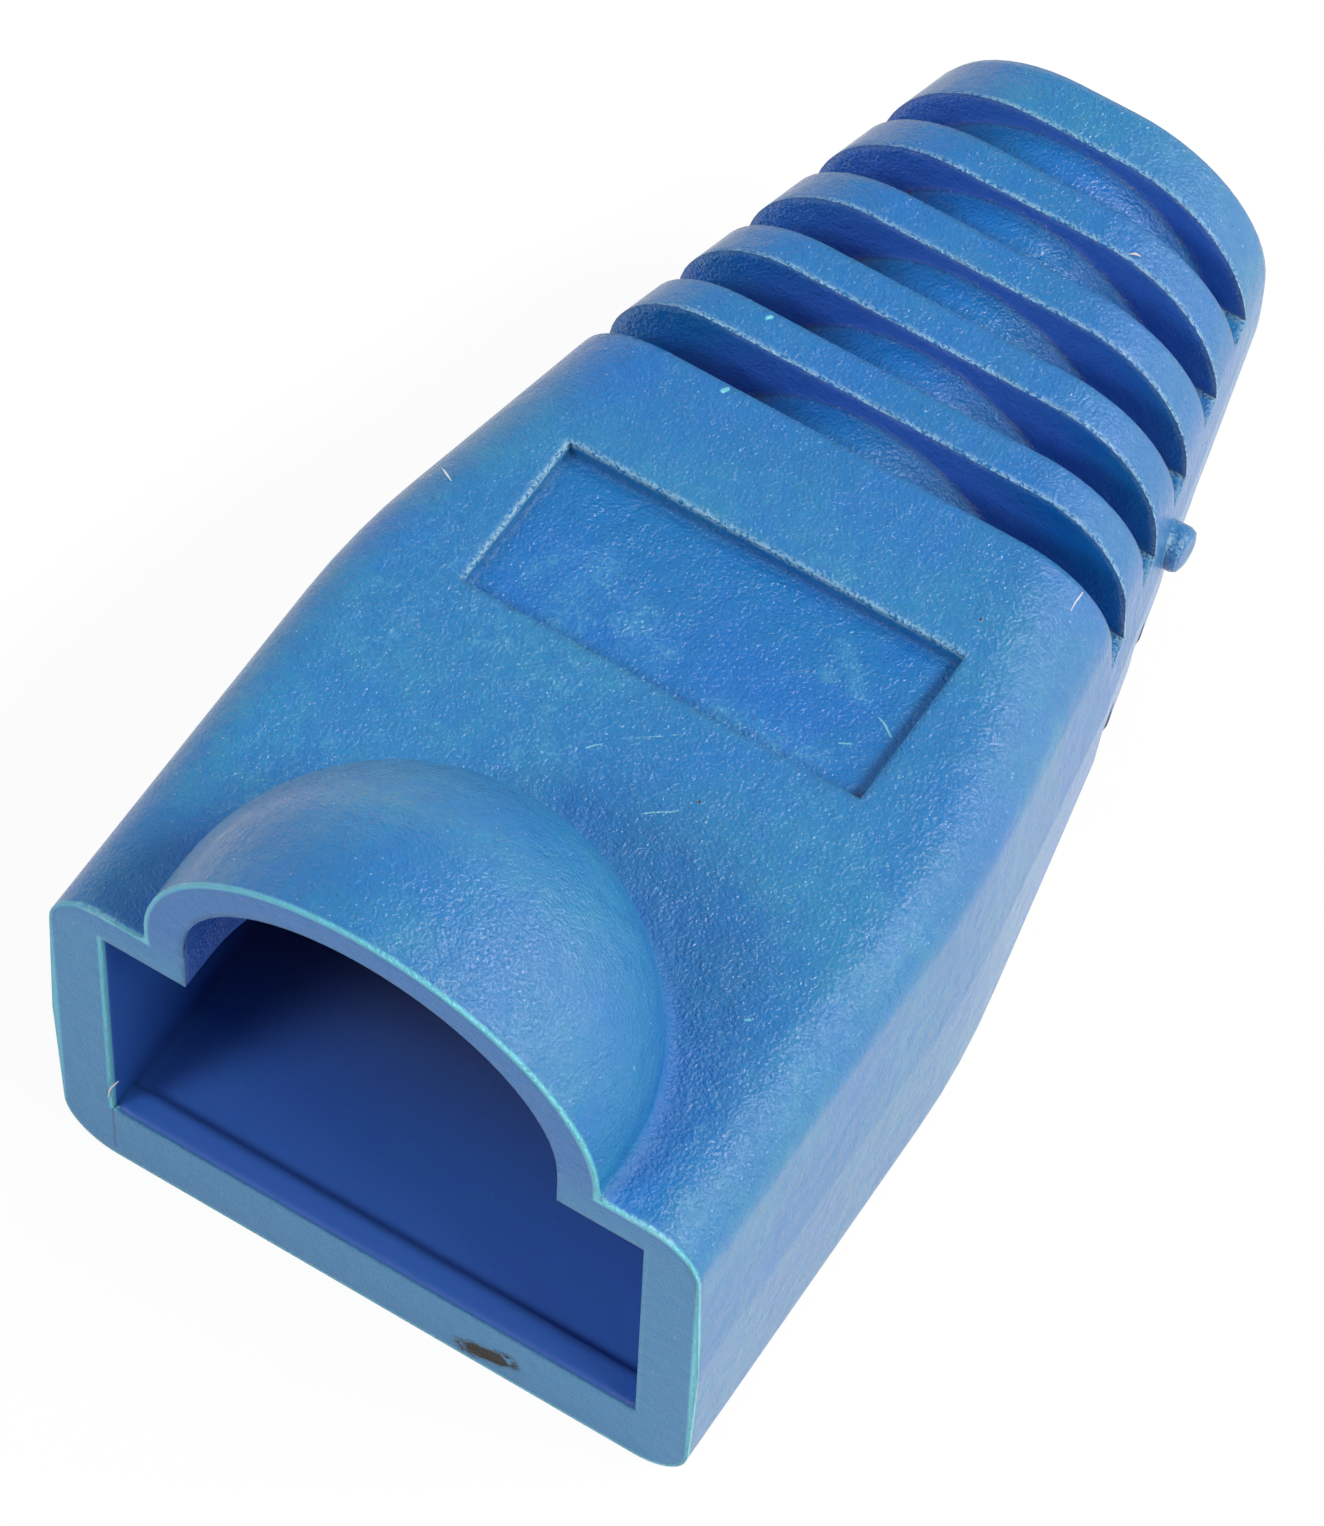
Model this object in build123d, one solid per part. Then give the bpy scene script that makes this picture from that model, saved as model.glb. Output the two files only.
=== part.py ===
from build123d import *
import os

# Strain relief boot for an eight-way modular plug: one soft moulding.
# Millimetres, Z up.  The origin is the middle of the cable hole at the end of
# the neck.  X runs across the boot, +Y is the way the cable leaves, and +Z is
# the side with the latch cover.  The features below are drawn with Y counted
# from the mouth and Z from the underside; one move at the end places the boot.

# Plug that the hood slides over, and the cable it comes on.
plug_width = 11.68
plug_fit = 0.11           # gap each side of the plug
cavity_height = 6.62      # floor to roof at the mouth
cable_bore = 6.0          # diameter of the hole through the neck

# Hood.
side_wall = 1.29          # at the parting line
floor_wall = 1.84
roof_wall = 0.88
roof_fall = 0.52          # how much lower the top is at the neck than at the mouth
side_draft = 0.14         # each flank leans in by this from parting line to corner
mouth_corner = 1.2        # radius of the long outer corners
straight_length = 10.16   # mouth to the middle of the bend
taper_length = 6.49       # from there to the first slot
taper_inset = 0.97        # each flank comes in by this along the taper
bend_reach = 1.6          # the bend is spread this far each way

# Lip that holds the plug, across the floor just inside the mouth.
lip_depth = 0.68
lip_height = 0.3
cavity_short = 0.56       # the straight plug space stops this far before the bend
funnel_short = 1.25       # the funnel has closed this far before the first slot
funnel_corner = 0.3

# Hollow half dome over the latch of the plug: an arch at the mouth that runs
# into a quarter of a ball, on short upright walls.
dome_radius = 4.93
dome_centre = 0.84        # centre of the ball behind the mouth
dome_raise = 0.28         # and above the top face
dome_wall = 0.86
dome_lean = 0.06          # forward lean of the arch, mm per mm of height
dome_blend = 0.28         # soft radius where the walls meet the top

# Shallow label panel in the top face.
panel_width = 8.88
panel_length = 3.83
panel_gap = 2.85          # from the panel to the first slot
panel_sink = 0.35

# Neck: five slots above and five below leave four ribs and an end collar.
neck_length = 10.2
neck_root_draft = 0.27
neck_root_corner = 2.1
neck_end_draft = 0.06
end_side_wall = 1.03      # flesh round the cable hole at the very end
end_top_wall = 0.9
end_flat = 0.52           # half the straight left between the corners of the end
end_edge = 0.22           # the far edge is softened over this much
slot_count = 5
slot_width = 1.1          # at the outside
slot_floor_width = 0.74   # at the web
collar_length = 1.31      # last slot to the cable end
web_height = 2.34         # solid web between upper and lower slots
core_wall = 0.6           # wall of the tube round the cable, seen in the slots

# Pad left by the moulding gate, on the +X flank at the parting line.
gate_run = 4.0            # from the first slot
gate_width = 1.0
gate_stand = 0.36
gate_edge = 0.16          # its rim is softened over this much

# Fits and levels that follow from the sizes above.
cavity_half = plug_width / 2 + plug_fit
hood_half = cavity_half + side_wall
hood_height = floor_wall + cavity_height + roof_wall
hood_length = straight_length + taper_length
boot_length = hood_length + neck_length
axis_z = hood_height / 2
roof_slope = roof_fall / hood_length
cavity_depth = straight_length - cavity_short
funnel_end = hood_length - funnel_short
panel_start = hood_length - panel_gap - panel_length
neck_root_half = hood_half - taper_inset
neck_root_half_height = hood_height - roof_fall - axis_z
neck_end_half = cable_bore / 2 + end_side_wall
neck_end_half_height = cable_bore / 2 + end_top_wall
side_taper = taper_inset / taper_length
floor_taper = (axis_z - neck_root_half_height) / taper_length
core_radius = cable_bore / 2 + core_wall
slot_pitch = (neck_length - collar_length - slot_width) / (slot_count - 1)
cover_level = hood_height + dome_raise

reach = 3 * hood_height   # longer than any cut has to go
overrun = 1.0             # cuts and parts that meet run on by this much
touch = 0.02              # nearer than this counts as touching


def top_at(y):
    """Height of the top face of the hood."""
    return hood_height - roof_slope * y


def past_bend(y):
    """Distance travelled beyond the bend, with the bend eased over its reach."""
    start = straight_length - bend_reach
    if y <= start:
        return 0.0
    if y >= straight_length + bend_reach:
        return y - straight_length
    return (y - start) ** 2 / (4 * bend_reach)


def cross_plane(y):
    """Plane across the boot whose own X and Y are the boot's X and Z."""
    return Plane(origin=(0, y, 0), x_dir=(1, 0, 0), z_dir=(0, -1, 0))


def outline(y, half, draft, bottom, top, corner):
    """Cross-section with flanks that lean in both ways from the parting line."""
    face = Polygon(
        (-half + draft, bottom), (half - draft, bottom), (half, axis_z),
        (half - draft, top), (-half + draft, top), (-half, axis_z), align=None,
    )
    corners = [v for v in face.vertices() if abs(v.Y - axis_z) > touch]
    return cross_plane(y) * fillet(corners, corner)


def hood_section(y):
    """Outer section of the hood at a distance from the mouth."""
    gone = past_bend(y)
    share = gone / past_bend(hood_length)
    return outline(
        y,
        hood_half - side_taper * gone,
        side_draft + (neck_root_draft - side_draft) * share,
        floor_taper * gone,
        top_at(y),
        mouth_corner + (neck_root_corner - mouth_corner) * share,
    )


def hood_solid():
    """Box hood with a softly bent plan."""
    steps = [straight_length + bend_reach * k / 2 for k in (-2, -1, 0, 1, 2)]
    return loft([hood_section(y) for y in [-overrun, *steps, hood_length]], ruled=True)


def neck_end(y, inset):
    """Outer section of the neck at its end, drawn in by an inset."""
    half_height = neck_end_half_height - inset
    return outline(
        y, neck_end_half - inset, neck_end_draft, axis_z - half_height, axis_z + half_height,
        half_height - end_flat,
    )


def neck_solid():
    """Tapered neck before its slots are cut, its far edge softened in two steps."""
    return loft([
        hood_section(hood_length),
        neck_end(boot_length - end_edge, 0),
        neck_end(boot_length - end_edge * 0.3, end_edge * 0.3),
        neck_end(boot_length, end_edge),
    ], ruled=True)


def slot_cut(y, side):
    """One slot, narrower at the web than outside; side is +1 above, -1 below."""
    deep = web_height / 2
    lean = (slot_width - slot_floor_width) / (2 * (neck_root_half_height - deep))
    middle = y + slot_width / 2
    far = neck_root_half_height + overrun
    wide = slot_floor_width / 2 + lean * (far - deep)
    narrow = slot_floor_width / 2
    face = Plane.YZ * Polygon(
        (middle - narrow, axis_z + side * deep), (middle + narrow, axis_z + side * deep),
        (middle + wide, axis_z + side * far), (middle - wide, axis_z + side * far), align=None,
    )
    return extrude(face, amount=hood_half, both=True)


def tube(radius, start, end):
    """Round bar along the axis of the cable."""
    face = cross_plane(start) * (Pos(0, axis_z) * Circle(radius))
    return extrude(face, amount=start - end)


def slotted_neck():
    """Neck with its slots, the core tube left standing inside them."""
    core = tube(core_radius, hood_length - overrun, boot_length + overrun)
    neck = neck_solid()
    for k in range(slot_count):
        for side in (1, -1):
            neck -= slot_cut(hood_length + k * slot_pitch, side) - core
    return neck


def dome_form(radius, level, foot):
    """Arch and quarter ball above a level, with upright walls down to a foot."""
    ahead = dome_centre + overrun
    arch = extrude(cross_plane(dome_centre) * (Pos(0, level) * Circle(radius)), amount=ahead)
    ball = Pos(0, dome_centre, level) * Rotation(90, 0, 0) * Sphere(radius)
    above = Pos(0, reach - overrun, level + reach / 2) * Box(2 * reach, 2 * reach, reach)
    front = Pos(0, dome_centre - ahead / 2) * Rectangle(2 * radius, ahead)
    back = Pos(0, dome_centre) * Circle(radius) & Pos(0, reach - overrun) * Rectangle(2 * reach, 2 * reach)
    walls = Pos(0, 0, level) * extrude(front + back, amount=foot - level)
    return ((arch + ball) & above) + walls


def mouth_cut():
    """Everything in front of the mouth; above the hood its face leans forward."""
    face = Plane.YZ * Polygon(
        (-reach, -overrun), (0, -overrun), (0, hood_height), (-dome_lean * reach, hood_height + reach),
        (-reach, hood_height + reach), align=None,
    )
    return extrude(face, amount=reach, both=True)


def covered_hood():
    """Hood with the latch cover blended into its top, cut off at the mouth."""
    cover = dome_form(dome_radius, cover_level, top_at(dome_centre + dome_radius) - roof_wall / 2)
    whole = hood_solid() + cover
    foot = [e for e in whole.edges() if is_cover_foot(e)]
    return fillet(foot, dome_blend) - mouth_cut()


def is_cover_foot(edge):
    """True for the edges where the walls of the cover stand on the top face."""
    point = edge.center(CenterOf.BOUNDING_BOX)
    box = edge.bounding_box()
    on_top = abs(box.min.Z - top_at(box.max.Y)) < touch and abs(box.max.Z - top_at(box.min.Y)) < touch
    inside = abs(point.X) < dome_radius + touch and box.max.Y < dome_centre + dome_radius + touch
    return on_top and inside


def latch_pocket():
    """Space under the cover, open downwards into the plug space."""
    return dome_form(dome_radius - dome_wall, cover_level, axis_z)


def plug_space():
    """Straight cavity, the step behind the lip and the funnel to the cable."""
    fall = roof_slope * cavity_depth
    side = Plane.YZ * Polygon(
        (-overrun, floor_wall), (lip_depth, floor_wall), (lip_depth, floor_wall - lip_height),
        (cavity_depth, floor_wall - lip_height), (cavity_depth, floor_wall + cavity_height - fall),
        (-overrun, floor_wall + cavity_height + roof_slope * overrun), align=None,
    )
    box = extrude(side, amount=cavity_half, both=True)
    low, high = floor_wall - lip_height, floor_wall + cavity_height - fall
    start = Pos(0, (low + high) / 2) * RectangleRounded(2 * cavity_half, high - low, funnel_corner)
    finish = Pos(0, axis_z) * RectangleRounded(cable_bore, cable_bore, cable_bore / 2 - touch)
    funnel = loft([cross_plane(cavity_depth - touch) * start, cross_plane(funnel_end) * finish], ruled=True)
    return box + funnel


def panel_cut():
    """Label panel, sunk square to the sloping top face."""
    face = Plane(origin=(0, 0, hood_height), x_dir=(1, 0, 0), z_dir=(0, roof_slope, 1))
    area = Pos(0, panel_start + panel_length / 2) * Rectangle(panel_width, panel_length)
    return extrude(face * area, amount=panel_sink, both=True)


def gate_pad():
    """Low round pad with a softened rim, standing off the flank."""
    flank = neck_root_half + (neck_end_half - neck_root_half) * gate_run / neck_length
    half, soft = gate_width / 2, gate_edge * 0.3
    profile = Polygon(
        (0, -gate_stand), (half, -gate_stand), (half, gate_stand - gate_edge),
        (half - soft, gate_stand - soft), (half - gate_edge, gate_stand), (0, gate_stand), align=None,
    )
    pad = revolve(Plane.XZ * profile, Axis.Z)
    return Pos(flank, hood_length + gate_run, axis_z) * Rotation(0, 90, 0) * pad


boot = covered_hood() + slotted_neck() + gate_pad()
boot -= plug_space() + latch_pocket() + tube(cable_bore / 2, funnel_end - touch, boot_length + overrun)
boot = Pos(0, -boot_length, -axis_z) * (boot - panel_cut())

os.makedirs("parts", exist_ok=True)
export_step(boot, "parts/boot.step")
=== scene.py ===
# %% [markdown]
# # A slip-on boot for a network cable, moulded in soft blue PVC
#
# This small part slides over the plug at the end of a network cable. Its slotted neck keeps the
# cable from kinking, and its half dome keeps the latch of the plug from snagging. The real boot is
# one moulding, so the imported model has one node, and nearly all the work here is in one material:
# what soft PVC does with light, what the mould left on it, and what handling has added since.

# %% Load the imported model
import math

import bpy
from mathutils import Matrix, Vector


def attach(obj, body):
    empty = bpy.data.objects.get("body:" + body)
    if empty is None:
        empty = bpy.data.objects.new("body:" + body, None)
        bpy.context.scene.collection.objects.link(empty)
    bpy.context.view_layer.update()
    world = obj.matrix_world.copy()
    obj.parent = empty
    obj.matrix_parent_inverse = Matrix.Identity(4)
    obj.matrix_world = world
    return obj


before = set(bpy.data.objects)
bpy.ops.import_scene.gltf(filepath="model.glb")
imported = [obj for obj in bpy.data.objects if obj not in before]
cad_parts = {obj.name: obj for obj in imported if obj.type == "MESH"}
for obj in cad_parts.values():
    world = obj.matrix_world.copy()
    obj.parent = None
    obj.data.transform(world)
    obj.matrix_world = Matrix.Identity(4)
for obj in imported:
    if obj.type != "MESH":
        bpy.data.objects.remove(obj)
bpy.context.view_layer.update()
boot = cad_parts["boot"]

# %% [markdown]
# ## Sizes that the surface marks depend on
#
# Marks such as the pale line round the mouth have to sit on the moulding, so they're placed in the
# mould maker's own measures: millimetres counted from the mouth, and upwards from the underside.
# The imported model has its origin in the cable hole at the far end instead. One offset joins the two.

# %% Measures of the moulding, in millimetres
MM = 0.001
LENGTH = 26.85            # mouth to the end of the neck
AXIS_HEIGHT = 4.67        # underside to the middle of the cable hole
HALF_WIDTH = 7.24
FLANK_LEAN = 0.07         # the flanks lean in by this, on average
CORNER = 1.2              # radius of the long outer corners
COVER_RADIUS = 4.93       # half dome over the latch
COVER_CENTRE = 0.84       # its centre behind the mouth
COVER_LEVEL = 9.62        # and above the underside
COVER_LEAN = 0.06         # how far its mouth leans forward, for each mm of height
TOP_FALL = 0.0312         # the top face falls by this, for each mm from the mouth
PANEL_START, PANEL_END, PANEL_HALF = 9.97, 13.80, 4.44
MOUTH_HALF, FLOOR, ROOF = 5.95, 1.84, 8.50
NECK_START, TUBE_RADIUS = 16.65, 3.6
MOUTH_SHIFT = (0, LENGTH, AXIS_HEIGHT)


def place(x, y, z):
    """A point in mm from the mouth and the underside, as a point of the scene in metres."""
    return Vector((x, y - LENGTH, z - AXIS_HEIGHT)) * MM


print("mouth centre", place(0, 0, AXIS_HEIGHT)[:])

# %% [markdown]
# ## Colours and nodes
#
# A colour is written as the hex value that it should show on a screen. Blender mixes light in linear
# values, so one function turns the first into the second. Shader graphs are long lists of small
# nodes, so a second function adds any node with its settings and its links in one line, and hands
# back the output that the next node needs.

# %% Colour and node helpers
def colour(hex_value):
    """Linear red, green, blue and alpha for an sRGB hex value such as "#1a6fb5"."""
    channels = [int(hex_value[i:i + 2], 16) / 255 for i in (1, 3, 5)]
    linear = [c / 12.92 if c <= 0.04045 else ((c + 0.055) / 1.055) ** 2.4 for c in channels]
    return (*linear, 1.0)


def add(tree, kind, sockets=None, out=0, **settings):
    """Adds a node, applies its settings, fills or links its sockets and returns one output, if it has any."""
    node = tree.nodes.new(kind)
    for name, value in settings.items():
        setattr(node, name, value)
    for key, value in (sockets or {}).items():
        if isinstance(value, bpy.types.NodeSocket):
            tree.links.new(value, node.inputs[key])
        else:
            node.inputs[key].default_value = value
    return node.outputs[out] if node.outputs else None


def new_material(name):
    """An empty node material."""
    material = bpy.data.materials.new(name)
    material.use_nodes = True
    material.node_tree.nodes.clear()
    return material


print("mid blue in linear values:", [round(c, 3) for c in colour("#1a6fb5")])

# %% [markdown]
# ## The material: flexible PVC, injection moulded, blue all through
#
# Plasticised PVC is a deep, saturated blue with a satin skin. Its refractive index is about 1.54, so
# a face seen at a slant turns pale as it mirrors the white surroundings, which is why the flank of
# the boot looks greyer than its top. Light also travels a hair's breadth under the skin.
#
# The graph starts with coordinates in millimetres from the mouth.

# %% Start the PVC material
pvc = new_material("soft PVC, moulded blue")
tree = pvc.node_tree
in_metres = add(tree, "ShaderNodeTexCoord", out="Object")
in_mm = add(tree, "ShaderNodeVectorMath", {0: in_metres, "Scale": 1 / MM}, operation="SCALE")
at = add(tree, "ShaderNodeVectorMath", {0: in_mm, 1: MOUTH_SHIFT}, operation="ADD")
axes = tree.nodes.new("ShaderNodeSeparateXYZ")
tree.links.new(at, axes.inputs[0])
across, along, height = axes.outputs
print("coordinates: across, along and height, in mm")

# %% [markdown]
# ### Distances that the marks are measured from
#
# Handling rubs a thin grey-green bloom onto the outer faces, while sunk places keep the clean blue of
# the fresh moulding. To tell them apart, the graph works out how far each point is from the label
# panel, the cable tube, the dome and the inside of the mouth.

# %% Distances round the boot
panel_middle = (PANEL_START + PANEL_END) / 2
top_drop = add(tree, "ShaderNodeMath", {0: along, 1: TOP_FALL, 2: height}, operation="MULTIPLY_ADD")
below_top = add(tree, "ShaderNodeMath", {0: 2 * AXIS_HEIGHT, 1: top_drop}, operation="SUBTRACT")
across_size = add(tree, "ShaderNodeMath", {0: across}, operation="ABSOLUTE")
past_panel_middle = add(tree, "ShaderNodeMath", {0: along, 1: panel_middle}, operation="SUBTRACT")
from_panel = add(tree, "ShaderNodeMath", {0: past_panel_middle}, operation="ABSOLUTE")
cross_point = add(tree, "ShaderNodeCombineXYZ", {0: across, 1: height})
from_axis = add(tree, "ShaderNodeVectorMath", {0: cross_point, 1: (0, AXIS_HEIGHT, 0)}, out="Value",
                operation="DISTANCE")
plan_point = add(tree, "ShaderNodeCombineXYZ", {0: across, 1: along})
from_dome = add(tree, "ShaderNodeVectorMath", {0: plan_point, 1: (0, COVER_CENTRE, 0)}, out="Value",
                operation="DISTANCE")
behind_centre = add(tree, "ShaderNodeMath", {0: along, 1: COVER_CENTRE}, operation="MAXIMUM")
cover_point = add(tree, "ShaderNodeCombineXYZ", {0: across, 1: behind_centre, 2: height})
from_cover = add(tree, "ShaderNodeVectorMath", {0: cover_point, 1: (0, COVER_CENTRE, COVER_LEVEL)},
                 out="Value", operation="DISTANCE")
faces = tree.nodes.new("ShaderNodeSeparateXYZ")
tree.links.new(add(tree, "ShaderNodeTexCoord", out="Normal"), faces.inputs[0])
faces_along = add(tree, "ShaderNodeMath", {0: faces.outputs[1]}, operation="ABSOLUTE")
print("distances from the panel, the axis, the dome and the inside of the cover")

# %% [markdown]
# The mouth's sharp edges get thin lines of painted cyan glow, which stand in for light shining through
# the thin plastic there. The distance to the outer edge comes from the moulding's own outline: a box
# with rounded corners, joined to the circle of the dome.

# %% Distance from the edges of the mouth
from_middle = add(tree, "ShaderNodeVectorMath", {0: cross_point, 1: (0, AXIS_HEIGHT, 0)},
                  operation="SUBTRACT")
folded = add(tree, "ShaderNodeVectorMath", {0: from_middle}, operation="ABSOLUTE")
core = (HALF_WIDTH - CORNER - FLANK_LEAN, AXIS_HEIGHT - CORNER, 0)
past_core = add(tree, "ShaderNodeVectorMath", {0: folded, 1: core}, operation="SUBTRACT")
outside_core = add(tree, "ShaderNodeVectorMath", {0: past_core, 1: (0, 0, 0)}, operation="MAXIMUM")
corner_distance = add(tree, "ShaderNodeVectorMath", {0: outside_core}, out="Value", operation="LENGTH")
to_box = add(tree, "ShaderNodeMath", {0: corner_distance, 1: CORNER}, operation="SUBTRACT")
to_middle = add(tree, "ShaderNodeVectorMath", {0: cross_point, 1: (0, COVER_LEVEL, 0)}, out="Value",
                operation="DISTANCE")
to_arch = add(tree, "ShaderNodeMath", {0: to_middle, 1: COVER_RADIUS}, operation="SUBTRACT")
inward = add(tree, "ShaderNodeMath", {0: to_box, 1: to_arch}, operation="MINIMUM")
above_top = add(tree, "ShaderNodeMath", {0: height, 1: 2 * AXIS_HEIGHT}, operation="SUBTRACT")
leaning = add(tree, "ShaderNodeMath", {0: above_top, 1: 0.0}, operation="MAXIMUM")
behind_mouth = add(tree, "ShaderNodeMath", {0: leaning, 1: COVER_LEAN, 2: along}, operation="MULTIPLY_ADD")
edge_point = add(tree, "ShaderNodeCombineXYZ", {0: inward, 1: behind_mouth})
from_outer_edge = add(tree, "ShaderNodeVectorMath", {0: edge_point}, out="Value", operation="LENGTH")
past_inner_edge = add(tree, "ShaderNodeMath", {0: across_size, 1: MOUTH_HALF}, operation="SUBTRACT")
inner_point = add(tree, "ShaderNodeCombineXYZ", {0: past_inner_edge, 1: behind_mouth})
from_inner_edge = add(tree, "ShaderNodeVectorMath", {0: inner_point}, out="Value", operation="LENGTH")
print("outline: box", 2 * HALF_WIDTH, "mm wide with", CORNER, "mm corners, and a circle of", COVER_RADIUS,
      "mm")

# %% [markdown]
# ### Uneven patterns
#
# Nothing on a handled moulding is even. These noises are all scaled in cells to the millimetre: flow
# of pigment, patches of bloom, the wisps that a finger leaves when it wipes the bloom about, a fine
# mottle where it caught in the grain, and the contour lines of one more noise, which make the short
# curls of rubbed skin.

# %% Noises
cells = {"flow": 0.5, "patches": 0.30, "wisps": 1.4, "mottle": 5.0, "grain": 13.0, "curls": 2.6, "bend": 0.9}
CONTOUR_LEVEL = 0.53      # the curls follow the places where their noise has this value
BEND_RANGE = 0.30         # a mark is moved by at most half of this either way, in mm
flow = add(tree, "ShaderNodeTexNoise", {"Vector": at, "Scale": cells["flow"], "Detail": 3.0,
                                        "Roughness": 0.6})
patches = add(tree, "ShaderNodeTexNoise", {"Vector": at, "Scale": cells["patches"], "Detail": 3.0,
                                           "Roughness": 0.55})
wisps = add(tree, "ShaderNodeTexNoise", {"Vector": at, "Scale": cells["wisps"], "Detail": 8.0,
                                         "Roughness": 0.80, "Distortion": 0.3})
mottle = add(tree, "ShaderNodeTexNoise", {"Vector": at, "Scale": cells["mottle"], "Detail": 3.0,
                                          "Roughness": 0.7})
grain = add(tree, "ShaderNodeTexNoise", {"Vector": at, "Scale": cells["grain"], "Detail": 2.0,
                                         "Roughness": 0.6})
curl_noise = add(tree, "ShaderNodeTexNoise", {"Vector": at, "Scale": cells["curls"], "Detail": 2.0,
                                              "Roughness": 0.55, "Distortion": 0.8})
curl_middle = add(tree, "ShaderNodeMath", {0: curl_noise, 1: CONTOUR_LEVEL}, operation="SUBTRACT")
from_contour = add(tree, "ShaderNodeMath", {0: curl_middle}, operation="ABSOLUTE")
bend = add(tree, "ShaderNodeTexNoise", {"Vector": at, "Scale": cells["bend"], "Detail": 2.0}, out="Color")
bend_middle = add(tree, "ShaderNodeVectorMath", {0: bend, 1: (0.5, 0.5, 0.5)}, operation="SUBTRACT")
bent_by = add(tree, "ShaderNodeVectorMath", {0: bend_middle, "Scale": BEND_RANGE}, operation="SCALE")
bent = add(tree, "ShaderNodeVectorMath", {0: at, 1: bent_by}, operation="ADD")
print("cloud sizes in mm:", {name: round(1 / scale, 2) for name, scale in cells.items()})

# %% [markdown]
# ### Masks
#
# A mask is a number from 0 to 1 that says how much of a finish a point gets. Each row below is a mask
# that is full at one value of its measure and fades softly to nothing at another.

# %% Table of fading masks
mask = {}
for name, measure, full, gone in [
    ("panel, along", from_panel, panel_middle - PANEL_START, panel_middle - PANEL_START + 0.05),
    ("panel, across", across_size, PANEL_HALF, PANEL_HALF + 0.05),
    ("below the top", below_top, 0.32, 0.12),
    ("tube", from_axis, TUBE_RADIUS + 0.02, TUBE_RADIUS + 0.12),
    ("neck", along, NECK_START, NECK_START - 0.1),
    ("neck, before its end", along, 26.0, 26.5),
    ("near the neck", along, 17.0, 13.0),
    ("before the collar", along, 24.5, 25.6),
    ("faces along", faces_along, 0.9, 0.6),
    ("deep in the slot", from_axis, 4.1, 5.8),
    ("outer neck", from_axis, 3.95, 3.75),
    ("near the top face", below_top, 0.10, 0.22),
    ("not above the top", below_top, -0.10, -0.25),
    ("deep in the hood", along, 7.0, 2.0),
    ("near the dome", from_dome, COVER_RADIUS + 0.15, COVER_RADIUS + 1.3),
    ("not on the dome", height, 9.3, 9.6),
    ("between the sides", across_size, MOUTH_HALF, MOUTH_HALF + 0.03),
    ("under the roof", height, ROOF, ROOF + 0.06),
    ("above the roof", height, ROOF, ROOF - 0.06),
    ("above the floor", height, FLOOR - 0.32, FLOOR - 0.36),
    ("in front of the funnel", along, 9.8, 10.6),
    ("behind the mouth", along, 0.05, 0.02),
    ("inside the cover", from_cover, COVER_RADIUS - 0.7, COVER_RADIUS - 0.6),
    ("violet flow", flow, 0.40, 0.62),
    ("patchy", patches, 0.62, 0.34),
    ("wispy", wisps, 0.70, 0.28),
    ("mottled", mottle, 0.60, 0.36),
    ("broken", mottle, 0.56, 0.46),
    ("grainy", grain, 0.50, 0.58),
    ("contour", from_contour, 0.003, 0.012),
    ("wide contour", from_contour, 0.004, 0.055),
    ("mouth face", behind_mouth, 0.01, 0.04),
    ("outer edge", from_outer_edge, 0.035, 0.125),
    ("right more than left", across, 10.0, -34.0),
    ("inner edge", from_inner_edge, 0.06, 0.13),
    ("left more than right", across, -5.0, 9.0),
    ("below the arch", height, 8.2, 10.4),
    ("under the roof line", height, ROOF - 0.1, ROOF + 0.1),
    ("above the floor line", height, FLOOR, FLOOR - 0.1),
]:
    mask[name] = add(tree, "ShaderNodeMapRange",
                     {"Value": measure, "From Min": full, "From Max": gone, "To Min": 1.0, "To Max": 0.0},
                     interpolation_type="SMOOTHSTEP")
print(len(mask), "fading masks")

# %% [markdown]
# Strokes are masks as well: everything near the line between two points, in millimetres. They serve
# for scratches and smears, and most measure their distance in a space that a noise has bent a
# little, so that no mark is quite straight.

# %% Strokes
def stroke(start, end, half_width, soft, space=bent):
    """Mask along the line between two points, fading over a soft edge."""
    run = Vector(end) - Vector(start)
    offset = add(tree, "ShaderNodeVectorMath", {0: space, 1: start}, operation="SUBTRACT")
    way = add(tree, "ShaderNodeVectorMath", {0: offset, 1: run / run.length_squared}, out="Value",
              operation="DOT_PRODUCT")
    on_line = add(tree, "ShaderNodeMath", {0: way, 1: 0.0}, operation="ADD", use_clamp=True)
    nearest = add(tree, "ShaderNodeVectorMath", {0: run, "Scale": on_line}, operation="SCALE")
    gap = add(tree, "ShaderNodeVectorMath", {0: offset, 1: nearest}, out="Value", operation="DISTANCE")
    return add(tree, "ShaderNodeMapRange",
               {"Value": gap, "From Min": half_width, "From Max": half_width + soft, "To Min": 1.0,
                "To Max": 0.0},
               interpolation_type="SMOOTHSTEP")


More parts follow.
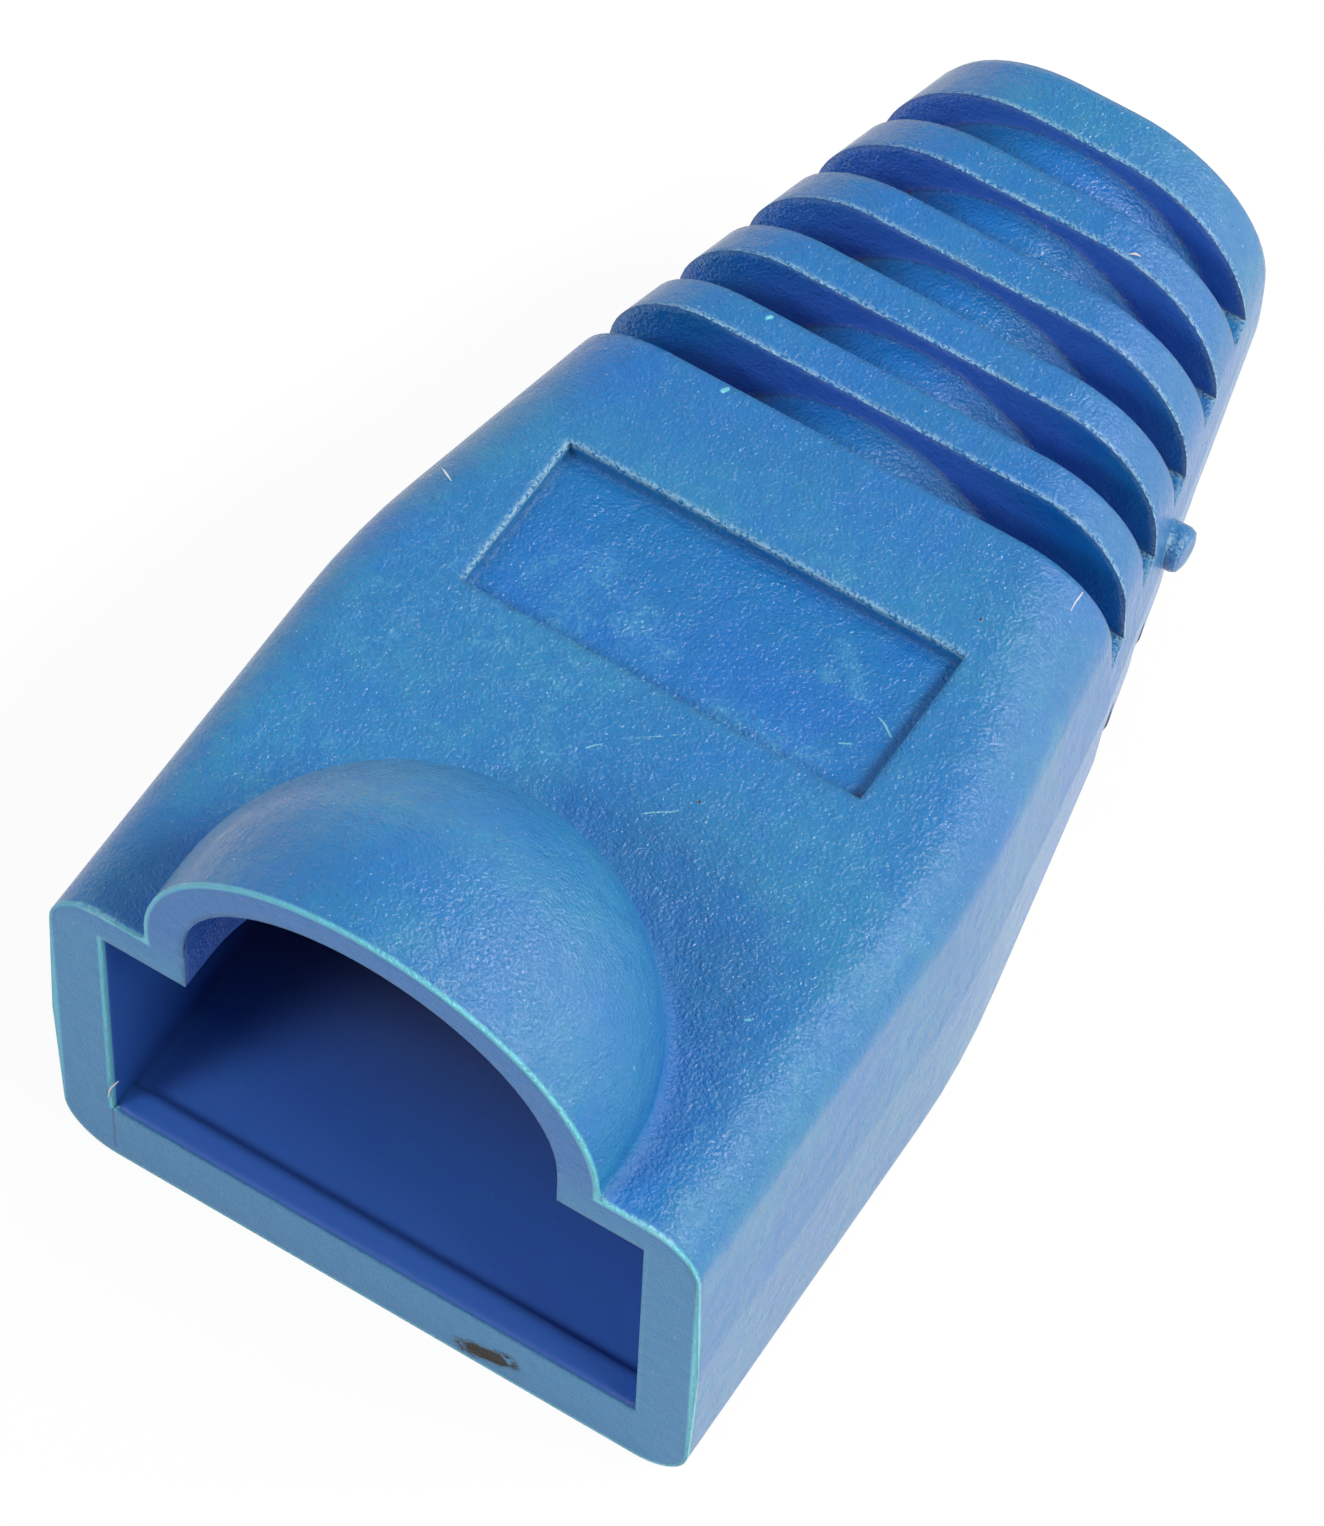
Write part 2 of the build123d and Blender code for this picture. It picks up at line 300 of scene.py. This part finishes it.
scratches = [
    ((-0.50, 8.10, 9.08), (0.22, 8.85, 9.07), 0.002, 0.022),
    ((0.22, 8.85, 9.07), (0.95, 9.35, 9.05), 0.001, 0.016),
    ((1.14, 7.35, 9.11), (1.72, 7.84, 9.10), 0.002, 0.026),
    ((3.25, 12.12, 8.61), (4.12, 11.63, 8.63), 0.002, 0.028),
    ((3.39, 10.98, 8.65), (3.71, 11.19, 8.64), 0.002, 0.028),
    ((5.18, 3.08, 9.24), (5.34, 3.67, 9.23), 0.002, 0.030),
    ((5.79, 1.78, 9.20), (5.96, 2.19, 9.20), 0.002, 0.030),
]
smears = [
    ((-2.40, 10.50, 8.66), (-2.50, 11.90, 8.62), 0.10, 0.60),
    ((-1.55, 11.30, 8.64), (-0.70, 10.90, 8.66), 0.15, 0.55),
    ((2.20, 13.00, 8.58), (3.20, 12.15, 8.61), 0.02, 0.30),
    ((2.36, 12.22, 8.60), (2.50, 12.20, 8.60), 0.05, 0.20),
    ((1.30, 10.20, 8.67), (2.90, 10.30, 8.67), 0.10, 0.70),
    ((-3.70, 11.00, 8.64), (-3.20, 11.80, 8.62), 0.05, 0.35),
]
smudges = [
    ((-3.20, 9.20, 9.05), (-1.90, 9.00, 9.06), 0.30, 1.20),
    ((-0.60, 8.60, 9.07), (-1.50, 7.60, 9.10), 0.30, 1.10),
    ((5.20, 4.00, 9.22), (5.70, 2.00, 9.28), 0.10, 0.45),
    ((-4.60, 5.20, 9.18), (-4.90, 3.40, 9.24), 0.20, 0.70),
    ((-5.00, 8.00, 9.09), (-5.40, 11.00, 9.00), 0.20, 0.90),
]
chips = [
    ((-2.64, 16.46, 8.82), (-2.58, 16.54, 8.82), 0.03, 0.04),
    ((-2.83, 18.35, 8.77), (-2.76, 18.40, 8.77), 0.02, 0.04),
    ((5.81, 8.22, 9.08), (5.85, 8.27, 9.08), 0.005, 0.025),
    ((5.18, 4.70, 9.19), (5.24, 4.75, 9.19), 0.005, 0.05),
]
dots = [
    ((4.26, 14.64, 8.88), (4.28, 14.66, 8.88), 0.02, 0.02),
    ((1.95, 8.17, 9.08), (1.97, 8.19, 9.08), 0.02, 0.03),
    ((0.98, 8.14, 9.09), (1.00, 8.16, 9.09), 0.01, 0.02),
    ((-0.70, 1.79, 1.54), (-0.68, 1.81, 1.54), 0.02, 0.03),
]
# a patch behind the dome on the right keeps a deeper blue: partly clean skin, partly painted shade
clean_shaded_patch = [
    ((0.50, 6.90, 9.13), (4.20, 5.60, 9.16), 0.40, 1.30),
    ((4.20, 5.60, 9.16), (5.00, 3.00, 9.25), 0.20, 0.90),
]
for name, group in (("scratches", scratches), ("smears", smears), ("smudges", smudges), ("chips", chips),
                    ("dots", dots), ("clean, shaded patch", clean_shaded_patch)):
    mask[name] = stroke(*group[0])
    for values in group[1:]:
        mask[name] = add(tree, "ShaderNodeMath", {0: mask[name], 1: stroke(*values)}, operation="MAXIMUM")
mask["flow line"] = stroke((-5.97, 0.0, 1.80), (-5.97, 0.0, 0.25), 0.008, 0.035, at)
mask["dirt core"] = stroke((2.36, 0.0, 0.50), (2.86, 0.0, 0.66), 0.19, 0.07, at)
mask["dirt halo"] = stroke((2.16, 0.0, 0.42), (3.05, 0.0, 0.80), 0.16, 0.26, at)
print(len(scratches), "scratches,", len(smears), "smears in the panel,", len(smudges), "smudges round it,",
      len(chips), "pale chips and", len(dots), "dark dots")

# %% [markdown]
# Dust and tiny chips of flash stick to soft PVC as pale specks, 0.03 to 0.05 mm across. They're the
# middles of the cells of a Voronoi pattern, and a random number of each cell picks a few.

# %% Specks
SPECK_CORE, SPECK_RIM = 0.5, 0.9      # full out to this part of a speck's size, and gone at this one
for name, scale, size, share in (("fine specks", 7.0, 0.026, 0.14), ("big specks", 2.2, 0.042, 0.05)):
    scatter = tree.nodes.new("ShaderNodeTexVoronoi")
    scatter.inputs["Scale"].default_value = scale
    tree.links.new(at, scatter.inputs["Vector"])
    lot = add(tree, "ShaderNodeSeparateColor", {0: scatter.outputs["Color"]})
    picked = add(tree, "ShaderNodeMath", {0: lot, 1: 1 - share}, operation="GREATER_THAN")
    mask[name] = add(tree, "ShaderNodeMapRange",
                     {"Value": scatter.outputs["Distance"], "From Min": size * scale * SPECK_CORE,
                      "From Max": size * scale * SPECK_RIM, "To Min": picked, "To Max": 0.0})
    print(name, size, "mm across, in", share, "of the cells")

# %% [markdown]
# Blender's Bevel node gives the normal that an edge would have if it were rounded by 0.28 mm, as the
# real one is, and where that differs from the flat face's own normal there is an edge. Edges whose
# rounding turns towards the mouth get painted highlights: pale, sparkling glints that stand in for
# the light that these edges catch.

# %% Edges
EDGE_ROUND = 0.28         # mm
ALMOST_FLAT, SHARP = 0.99, 0.80       # likeness of the two normals
GLINT_WAY = (0.5, -0.85, 0)          # towards the mouth and a little to the right
soft_edges = add(tree, "ShaderNodeBevel", {"Radius": EDGE_ROUND * MM}, samples=4)
flat = add(tree, "ShaderNodeNewGeometry", out="True Normal")
likeness = add(tree, "ShaderNodeVectorMath", {0: soft_edges, 1: flat}, out="Value", operation="DOT_PRODUCT")
mask["edges"] = add(tree, "ShaderNodeMapRange",
                    {"Value": likeness, "From Min": ALMOST_FLAT, "From Max": SHARP, "To Min": 0.0,
                     "To Max": 1.0})
# edges whose rounding turns this way get painted glints
towards_glint_way = add(tree, "ShaderNodeVectorMath", {0: soft_edges, 1: GLINT_WAY}, out="Value",
                    operation="DOT_PRODUCT")
mask["glint side"] = add(tree, "ShaderNodeMapRange", {"Value": towards_glint_way, "From Min": 0.05,
                                                   "From Max": 0.35})
print("edges rounded by", EDGE_ROUND, "mm for the light")

# %% [markdown]
# The masks are then joined: the product of several holds only where all of them do, and the maximum
# holds where any of them does. A plain number at the end of a row thins the mask.

# %% Table of joined masks
for name, operation, first, *others in [
    ("panel floor", "MULTIPLY", "panel, along", "panel, across", "below the top"),
    ("tube in the slots", "MULTIPLY", "tube", "neck"),
    ("walls of the slots", "MULTIPLY", "faces along", "neck", "neck, before its end"),
    ("deep walls", "MULTIPLY", "walls of the slots", "deep in the slot"),
    # the dome's foot keeps a deeper blue, partly clean skin and partly painted shade of the dome
    ("dome foot ring, clean and shaded", "MULTIPLY", "near the dome", "not on the dome"),
    ("inside the hood", "MULTIPLY", "between the sides", "under the roof", "above the floor",
     "in front of the funnel", "behind the mouth"),
    ("inside the dome", "MULTIPLY", "inside the cover", "above the roof", "behind the mouth"),
    # painted shade tint: the hollows inside the hood and the dome, and the deep walls of the slots
    ("shaded hollows", "MAXIMUM", "inside the hood", "inside the dome", "deep walls"),
    # painted shade: the depth of the hood is darkened in the colour
    ("painted shade deep in the hood", "MULTIPLY", "inside the hood", "deep in the hood", 0.9),
    ("mostly clean, shaded patch", "MULTIPLY", "clean, shaded patch", 0.8),
    ("sheltered", "MAXIMUM", "panel floor", "tube in the slots", "dome foot ring, clean and shaded", "shaded hollows",
     "walls of the slots", "mostly clean, shaded patch"),
    ("bloom", "MULTIPLY", "patchy", "wispy"),
    ("clean neck", "MULTIPLY", "near the neck", "before the collar"),
    # the face at the mouth is paled partly by scuffing and partly by painted light
    ("scuffed and lit shut-off face", "MULTIPLY", "mouth face", "below the arch", 0.85),
    # painted glow on the inner edge, on the left
    ("painted inner glow", "MULTIPLY", "inner edge", "left more than right", "under the roof line",
     "above the floor line"),
    # painted glow on the outer edge, mostly on the right
    ("painted outer glow", "MULTIPLY", "outer edge", "right more than left"),
    ("rubbed panel", "MULTIPLY", "smears", "wide contour", "wispy", 0.6),
    ("hazy panel", "MULTIPLY", "smears", "wispy", 0.35),
    ("rubbed top", "MULTIPLY", "smudges", "wide contour", "wispy", 0.4),
    ("curls", "MULTIPLY", "contour", "broken", "wispy", 0.3),
    ("edges of the hood", "MULTIPLY", "near the top face", "not above the top"),
    ("edges of the neck", "MULTIPLY", "outer neck", "neck"),
    ("outward edges", "MAXIMUM", "edges of the hood", "edges of the neck"),
    # painted highlights: sparkling glints on the outer edges that face the mouth
    ("painted edge glints", "MULTIPLY", "edges", "glint side", "outward edges", "grainy"),
    ("specks", "MAXIMUM", "fine specks", "big specks"),
    ("dirt", "MULTIPLY", "dirt halo", "mottled"),
    ("all dirt", "MAXIMUM", "dirt", "dirt core"),
]:
    mask[name] = mask[first]
    for other in others:
        mask[name] = add(tree, "ShaderNodeMath", {0: mask[name], 1: mask.get(other, other)},
                         operation=operation)
print(len(mask), "masks in all")

# %% [markdown]
# Fingers bring the bloom, so sunk and covered places get little of it, and fewer curls, specks and
# painted edge glints. The neck in the photograph is a cleaner blue than the hood, so its bloom is
# thinned once more.

# %% Bloom stays thin in sheltered places
SHELTER_SHARE, NECK_SHARE = 0.15, 0.4
BLOOM_LEAST, BLOOM_RANGE, SPECK_STRENGTH = 0.28, 0.75, 0.45
open_places = add(tree, "ShaderNodeMapRange", {"Value": mask["sheltered"], "To Min": 1.0,
                                               "To Max": SHELTER_SHARE})
base_bloom = add(tree, "ShaderNodeMath", {0: mask["bloom"], 1: BLOOM_RANGE, 2: BLOOM_LEAST},
                 operation="MULTIPLY_ADD")
for name, value in (("bloom", base_bloom), ("curls", mask["curls"]), ("specks", SPECK_STRENGTH),
                    ("painted edge glints", mask["painted edge glints"])):
    mask["open " + name] = add(tree, "ShaderNodeMath", {0: open_places, 1: value}, operation="MULTIPLY")
neck_share = add(tree, "ShaderNodeMapRange", {"Value": mask["clean neck"], "To Min": 1.0,
                                              "To Max": NECK_SHARE})
mask["open bloom"] = add(tree, "ShaderNodeMath", {0: mask["open bloom"], 1: neck_share}, operation="MULTIPLY")
mask["shown specks"] = add(tree, "ShaderNodeMath", {0: mask["open specks"], 1: mask["specks"]},
                           operation="MULTIPLY")
print("bloom covers", SHELTER_SHARE, "as much in sheltered places, and", NECK_SHARE, "as much on the neck")

# %% [markdown]
# ### The coats
#
# The colours go on one over another: the moulded blue, a violet blue of painted shade in the hollows,
# darker painted shade deep in the hood, bloom, the face at the mouth, pale partly from scuffing and
# partly as painted light, painted cyan glow along its edges, painted glints on the edges, then rubbed
# skin, scratches, dust and dirt.

# %% Lay the coats over each other
coat = add(tree, "ShaderNodeMix", {"Factor": mask["violet flow"], 6: colour("#0c64ab"), 7: colour("#0b61b2")},
           out=2, data_type="RGBA")
for name, hex_value in [
    # painted shade: a violet blue in the hollows
    ("shaded hollows", "#3361bb"),
    # painted shade deep inside the hood
    ("painted shade deep in the hood", "#3f3346"),
    ("open bloom", "#2378aa"),
    ("mouth face", "#1a69b0"),
    # partly the scuffed shut-off face, partly painted light that pales it
    ("scuffed and lit shut-off face", "#3480b1"),
    # painted glow: cyan lines on the edges of the mouth
    ("painted inner glow", "#58bcd8"),
    ("painted outer glow", "#66c6de"),
    # painted highlight: pale glints on the edges
    ("open painted edge glints", "#9bcbe6"),
    ("open curls", "#5c9ccf"),
    ("rubbed top", "#4a94bb"),
    ("hazy panel", "#3f8cbc"),
    ("rubbed panel", "#4a94bb"),
    ("shown specks", "#90bfdc"),
    ("scratches", "#6aaac4"),
    ("chips", "#62b9d0"),
    ("dots", "#1d2a3c"),
    ("flow line", "#2a5f92"),
    ("all dirt", "#201b18"),
]:
    coat = add(tree, "ShaderNodeMix", {"Factor": mask[name], 6: coat, 7: colour(hex_value)}, out=2,
               data_type="RGBA")
    print(name, hex_value)

# %% [markdown]
# ### Grain and gloss
#
# The mould was spark-eroded, which leaves a fine grain of about 0.09 mm. It breaks each highlight
# into sparkles. A second, wider unevenness of the skin bends the highlights. The ring round the dome
# and the face of the mouth mirror less sharply than the rest, and the dirt hardly shines. Inside the
# hood the mould's core was smoother.

# %% Surface of the PVC
RIPPLE_SHARE = 1.2        # of the grain's height
RELIEF, SMOOTH_SHARE = 0.058, 0.12    # mm of relief for the light, and its share inside the hood
SATIN, MATT = 0.16, 0.50  # roughness
# the export drops a linked level, so only the dirt depends on it
PVC_SHINE, DIRT_SHINE = 0.5, 0.15     # only the dirt changes the shine level
ripple = add(tree, "ShaderNodeTexNoise", {"Vector": at, "Scale": 2.0, "Detail": 1.0})
relief = add(tree, "ShaderNodeMath", {0: ripple, 1: RIPPLE_SHARE, 2: grain}, operation="MULTIPLY_ADD")
relief_share = add(tree, "ShaderNodeMapRange", {"Value": mask["inside the hood"], "To Min": 1.0,
                                                "To Max": SMOOTH_SHARE})
bumps = add(tree, "ShaderNodeBump", {"Height": relief, "Distance": RELIEF * MM, "Strength": relief_share,
                                     "Normal": soft_edges})
dull = add(tree, "ShaderNodeMath", {0: mask["dome foot ring, clean and shaded"], 1: mask["mouth face"]},
           operation="MAXIMUM")
gloss = add(tree, "ShaderNodeMapRange", {"Value": dull, "To Min": SATIN, "To Max": MATT})
shine = add(tree, "ShaderNodeMapRange", {"Value": mask["all dirt"], "To Min": PVC_SHINE,
                                         "To Max": DIRT_SHINE})
surface = add(tree, "ShaderNodeBsdfPrincipled",
              {"Base Color": coat, "Roughness": gloss, "IOR": 1.54, "Specular IOR Level": shine,
               "Normal": bumps})
add(tree, "ShaderNodeOutputMaterial", {"Surface": surface})
for material_slot in boot.material_slots:
    material_slot.material = pvc
print("PVC material:", len(tree.nodes), "nodes on", len(boot.material_slots), "slot")

# %% [markdown]
# ### Slivers of flash
#
# Where the halves of a mould meet, soft PVC leaves hair-thin slivers that break loose and cling. Four
# of them can be seen: one at the left inner edge of the mouth and three on the upper side. Each is a
# curve through a few points, given a round section that tapers, and then turned into a mesh.

# %% Slivers
flash = new_material("flash of pale stretched PVC")
tree = flash.node_tree
flash_noise = add(tree, "ShaderNodeTexNoise", {"Vector": add(tree, "ShaderNodeTexCoord", out="Object"),
                                               "Scale": 3 / MM, "Detail": 2.0})
flash_colour = add(tree, "ShaderNodeMix", {"Factor": flash_noise, 6: colour("#9fbccd"), 7: colour("#dccfc8")},
                   out=2, data_type="RGBA")
flash_surface = add(tree, "ShaderNodeBsdfPrincipled",
                    {"Base Color": flash_colour, "Roughness": 0.5, "IOR": 1.53, "Subsurface Weight": 0.3,
                     "Subsurface Radius": (0.6, 0.8, 1.0), "Subsurface Scale": 0.05 * MM})
add(tree, "ShaderNodeOutputMaterial", {"Surface": flash_surface})


def sliver(name, thickness, points):
    """Hair of plastic through points in mm, thickest in the middle."""
    curve = bpy.data.curves.new(name, "CURVE")
    curve.dimensions = "3D"
    curve.bevel_depth, curve.bevel_resolution, curve.use_fill_caps = thickness / 2 * MM, 2, True
    spline = curve.splines.new("NURBS")
    spline.points.add(len(points) - 1)
    spline.order_u, spline.use_endpoint_u = 3, True
    for k, (point, target) in enumerate(zip(points, spline.points)):
        target.co = (*place(*point), 1)
        target.radius = 0.35 + 0.65 * math.sin(math.pi * k / (len(points) - 1))
    drawn = bpy.data.objects.new(name + " curve", curve)
    bpy.context.scene.collection.objects.link(drawn)
    mesh = bpy.data.meshes.new_from_object(drawn.evaluated_get(bpy.context.evaluated_depsgraph_get()))
    bpy.data.objects.remove(drawn)
    mesh.materials.clear()
    mesh.materials.append(flash)
    piece = bpy.data.objects.new(name, mesh)
    bpy.context.scene.collection.objects.link(piece)
    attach(piece, "root")
    print(name, len(mesh.polygons), "faces")


sliver("sliver_mouth", 0.05,
       [(-5.80, 0.02, 3.06), (-5.90, -0.06, 2.86), (-5.99, -0.05, 2.60), (-6.06, 0.0, 2.16)])
sliver("sliver_shoulder", 0.045,
       [(-6.16, 11.92, 8.94), (-6.06, 11.84, 9.04), (-5.96, 11.78, 9.05), (-5.86, 11.78, 8.94)])
sliver("sliver_rib", 0.05,
       [(2.26, 23.70, 8.58), (2.33, 23.73, 8.63), (2.40, 23.76, 8.63), (2.48, 23.79, 8.58)])
sliver("sliver_corner", 0.035,
       [(5.56, 16.30, 8.84), (5.58, 16.14, 8.92), (5.57, 15.98, 8.92), (5.58, 15.82, 8.84)])

# %% [markdown]
# ## Ground, light and camera
#
# The boot lies on a white ground in soft light from all sides, with two stronger lamps on the right
# and one in front on the left. The ground is plain white paint that still takes the boot's shadow.

# %% White ground
GROUND_WIDTH = 1.2        # metres
GLOW_SHARE = 0.92         # of the ground's look; the rest is paint, which takes the shadow
bpy.ops.mesh.primitive_plane_add(size=GROUND_WIDTH, location=place(0, LENGTH / 2, -0.01))
ground = bpy.context.object
ground.name = "ground"
white = new_material("matt white ground")
tree = white.node_tree
paint = add(tree, "ShaderNodeBsdfDiffuse", {"Color": colour("#f4f4f4")})
glow = add(tree, "ShaderNodeEmission", {"Color": colour("#ffffff"), "Strength": 1.0})
rays = tree.nodes.new("ShaderNodeLightPath").outputs
seen = rays["Is Camera Ray"]
for kind in ("Is Glossy Ray", "Is Transmission Ray"):
    seen = add(tree, "ShaderNodeMath", {0: seen, 1: rays[kind]}, operation="MAXIMUM")
share = add(tree, "ShaderNodeMath", {0: seen, 1: GLOW_SHARE}, operation="MULTIPLY")
mixed = add(tree, "ShaderNodeMixShader", {0: share, 1: paint, 2: glow})
add(tree, "ShaderNodeOutputMaterial", {"Surface": mixed})
ground.data.materials.append(white)
print("ground:", GROUND_WIDTH, "m wide")

# %% [markdown]
# The surroundings are an even white tent, brighter on the right and a little brighter behind the boot
# and on its left. In front on the right the tent is open and the dark room shows, which darkens the
# depth of the mouth; painted shade in the PVC material makes it black.

# %% White tent with a dark opening
def towards(azimuth, elevation):
    """Direction to a place round the boot: azimuth 0 is in front of the mouth, 90 is on its right."""
    a, e = math.radians(azimuth), math.radians(elevation)
    return Vector((math.sin(a) * math.cos(e), -math.cos(a) * math.cos(e), math.sin(e)))


world = bpy.data.worlds.new("white tent")
bpy.context.scene.world = world
world.use_nodes = True
world.node_tree.nodes.clear()
tree = world.node_tree
looking = add(tree, "ShaderNodeTexCoord", out="Generated")
TENT_LEVEL, OPENING_LEVEL = 0.38, 0.10
level = TENT_LEVEL
for name, azimuth, elevation, full, gone, strength in [
    ("right", 100, 18, 0.93, 0.55, 0.44),
    ("back", 200, 0, 0.95, 0.55, 0.25),
    ("left", 285, 35, 0.95, 0.45, 0.10),
]:
    nearness = add(tree, "ShaderNodeVectorMath", {0: looking, 1: towards(azimuth, elevation)}, out="Value",
                   operation="DOT_PRODUCT")
    extra = add(tree, "ShaderNodeMapRange",
                {"Value": nearness, "From Min": gone, "From Max": full, "To Min": 0.0, "To Max": strength},
                interpolation_type="SMOOTHSTEP")
    level = add(tree, "ShaderNodeMath", {0: extra, 1: level}, operation="ADD")
    print("brighter by", strength, "at the", name)
nearness = add(tree, "ShaderNodeVectorMath", {0: looking, 1: towards(50, 12)}, out="Value",
               operation="DOT_PRODUCT")
level = add(tree, "ShaderNodeMapRange",
            {"Value": nearness, "From Min": 0.46, "From Max": 0.80, "To Min": level, "To Max": OPENING_LEVEL},
            interpolation_type="SMOOTHSTEP")
tent = add(tree, "ShaderNodeBackground", {"Color": colour("#fefefd"), "Strength": level})
add(tree, "ShaderNodeOutputWorld", {"Surface": tent})
print("tent", TENT_LEVEL, "opening", OPENING_LEVEL)

# %% [markdown]
# Three soft lamps stand outside the tent. Two key lamps on the right make the sparkling highlights:
# the upper one reaches down into the slots, the lower one glances off the dome and the long corner.
# Both are faintly warm, which greys the blue as in the photograph.
# A third, in front on the left, puts a thin bright line on each rib's near edge, along with the
# painted edge glints.

# %% Lamps
def soft_box(name, direction, distance, width, length, power, tone):
    """Soft box that faces the middle of the boot, its length along the boot."""
    data = bpy.data.lights.new(name, "AREA")
    data.shape = "RECTANGLE"
    data.size, data.size_y = width, length
    data.energy = power
    data.color = colour(tone)[:3]
    lamp = bpy.data.objects.new(name, data)
    bpy.context.scene.collection.objects.link(lamp)
    long_side = (Vector((0, 1, 0)) - direction * direction.y).normalized()
    turned = Matrix((long_side.cross(direction), long_side, direction)).transposed().to_4x4()
    lamp.matrix_world = Matrix.Translation(place(0, LENGTH / 2, AXIS_HEIGHT) + direction * distance) @ turned
    print(name, "at", [round(v, 3) for v in lamp.location])


soft_box("upper key lamp", Vector((0.64, 0.00, 0.77)).normalized(), 0.25, 0.05, 0.14, 0.46, "#fff6e8")
soft_box("lower key lamp", Vector((0.66, 0.48, 0.58)).normalized(), 0.25, 0.06, 0.06, 0.38, "#ffefd8")
soft_box("front lamp", towards(-28, 44), 0.30, 0.08, 0.08, 0.34, "#ffffff")

# %% [markdown]
# The camera stands above and in front, a little to the right. Its place and focal length were
# solved from the edges of the mouth, the panel and the slots in the photograph.

# %% Camera
AZIMUTH, ELEVATION, ROLL = 29.60, 59.06, math.radians(3.00)
DISTANCE = 146.46         # mm from the place looked at
FOCAL_PIXELS, FRAME_PIXELS = 7590.6, 1526
back = towards(AZIMUTH, ELEVATION)
level_right = towards(AZIMUTH + 90, 0)
level_up = back.cross(level_right)
right = math.cos(ROLL) * level_right + math.sin(ROLL) * level_up
up = back.cross(right)
camera_data = bpy.data.cameras.new("camera")
camera = bpy.data.objects.new("camera", camera_data)
bpy.context.scene.collection.objects.link(camera)
bpy.context.scene.camera = camera
camera_data.sensor_width = 36
camera_data.lens = FOCAL_PIXELS / FRAME_PIXELS * camera_data.sensor_width
camera_data.clip_start, camera_data.clip_end = 0.01, 5
looked_at = place(-0.141, 10.448, 5.487)
camera.matrix_world = (Matrix.Translation(looked_at + back * DISTANCE * MM)
                       @ Matrix((right, up, back)).transposed().to_4x4())
bpy.context.scene.view_settings.view_transform = "Standard"
print("focal length", round(camera_data.lens, 1), "mm,", DISTANCE, "mm from the boot")
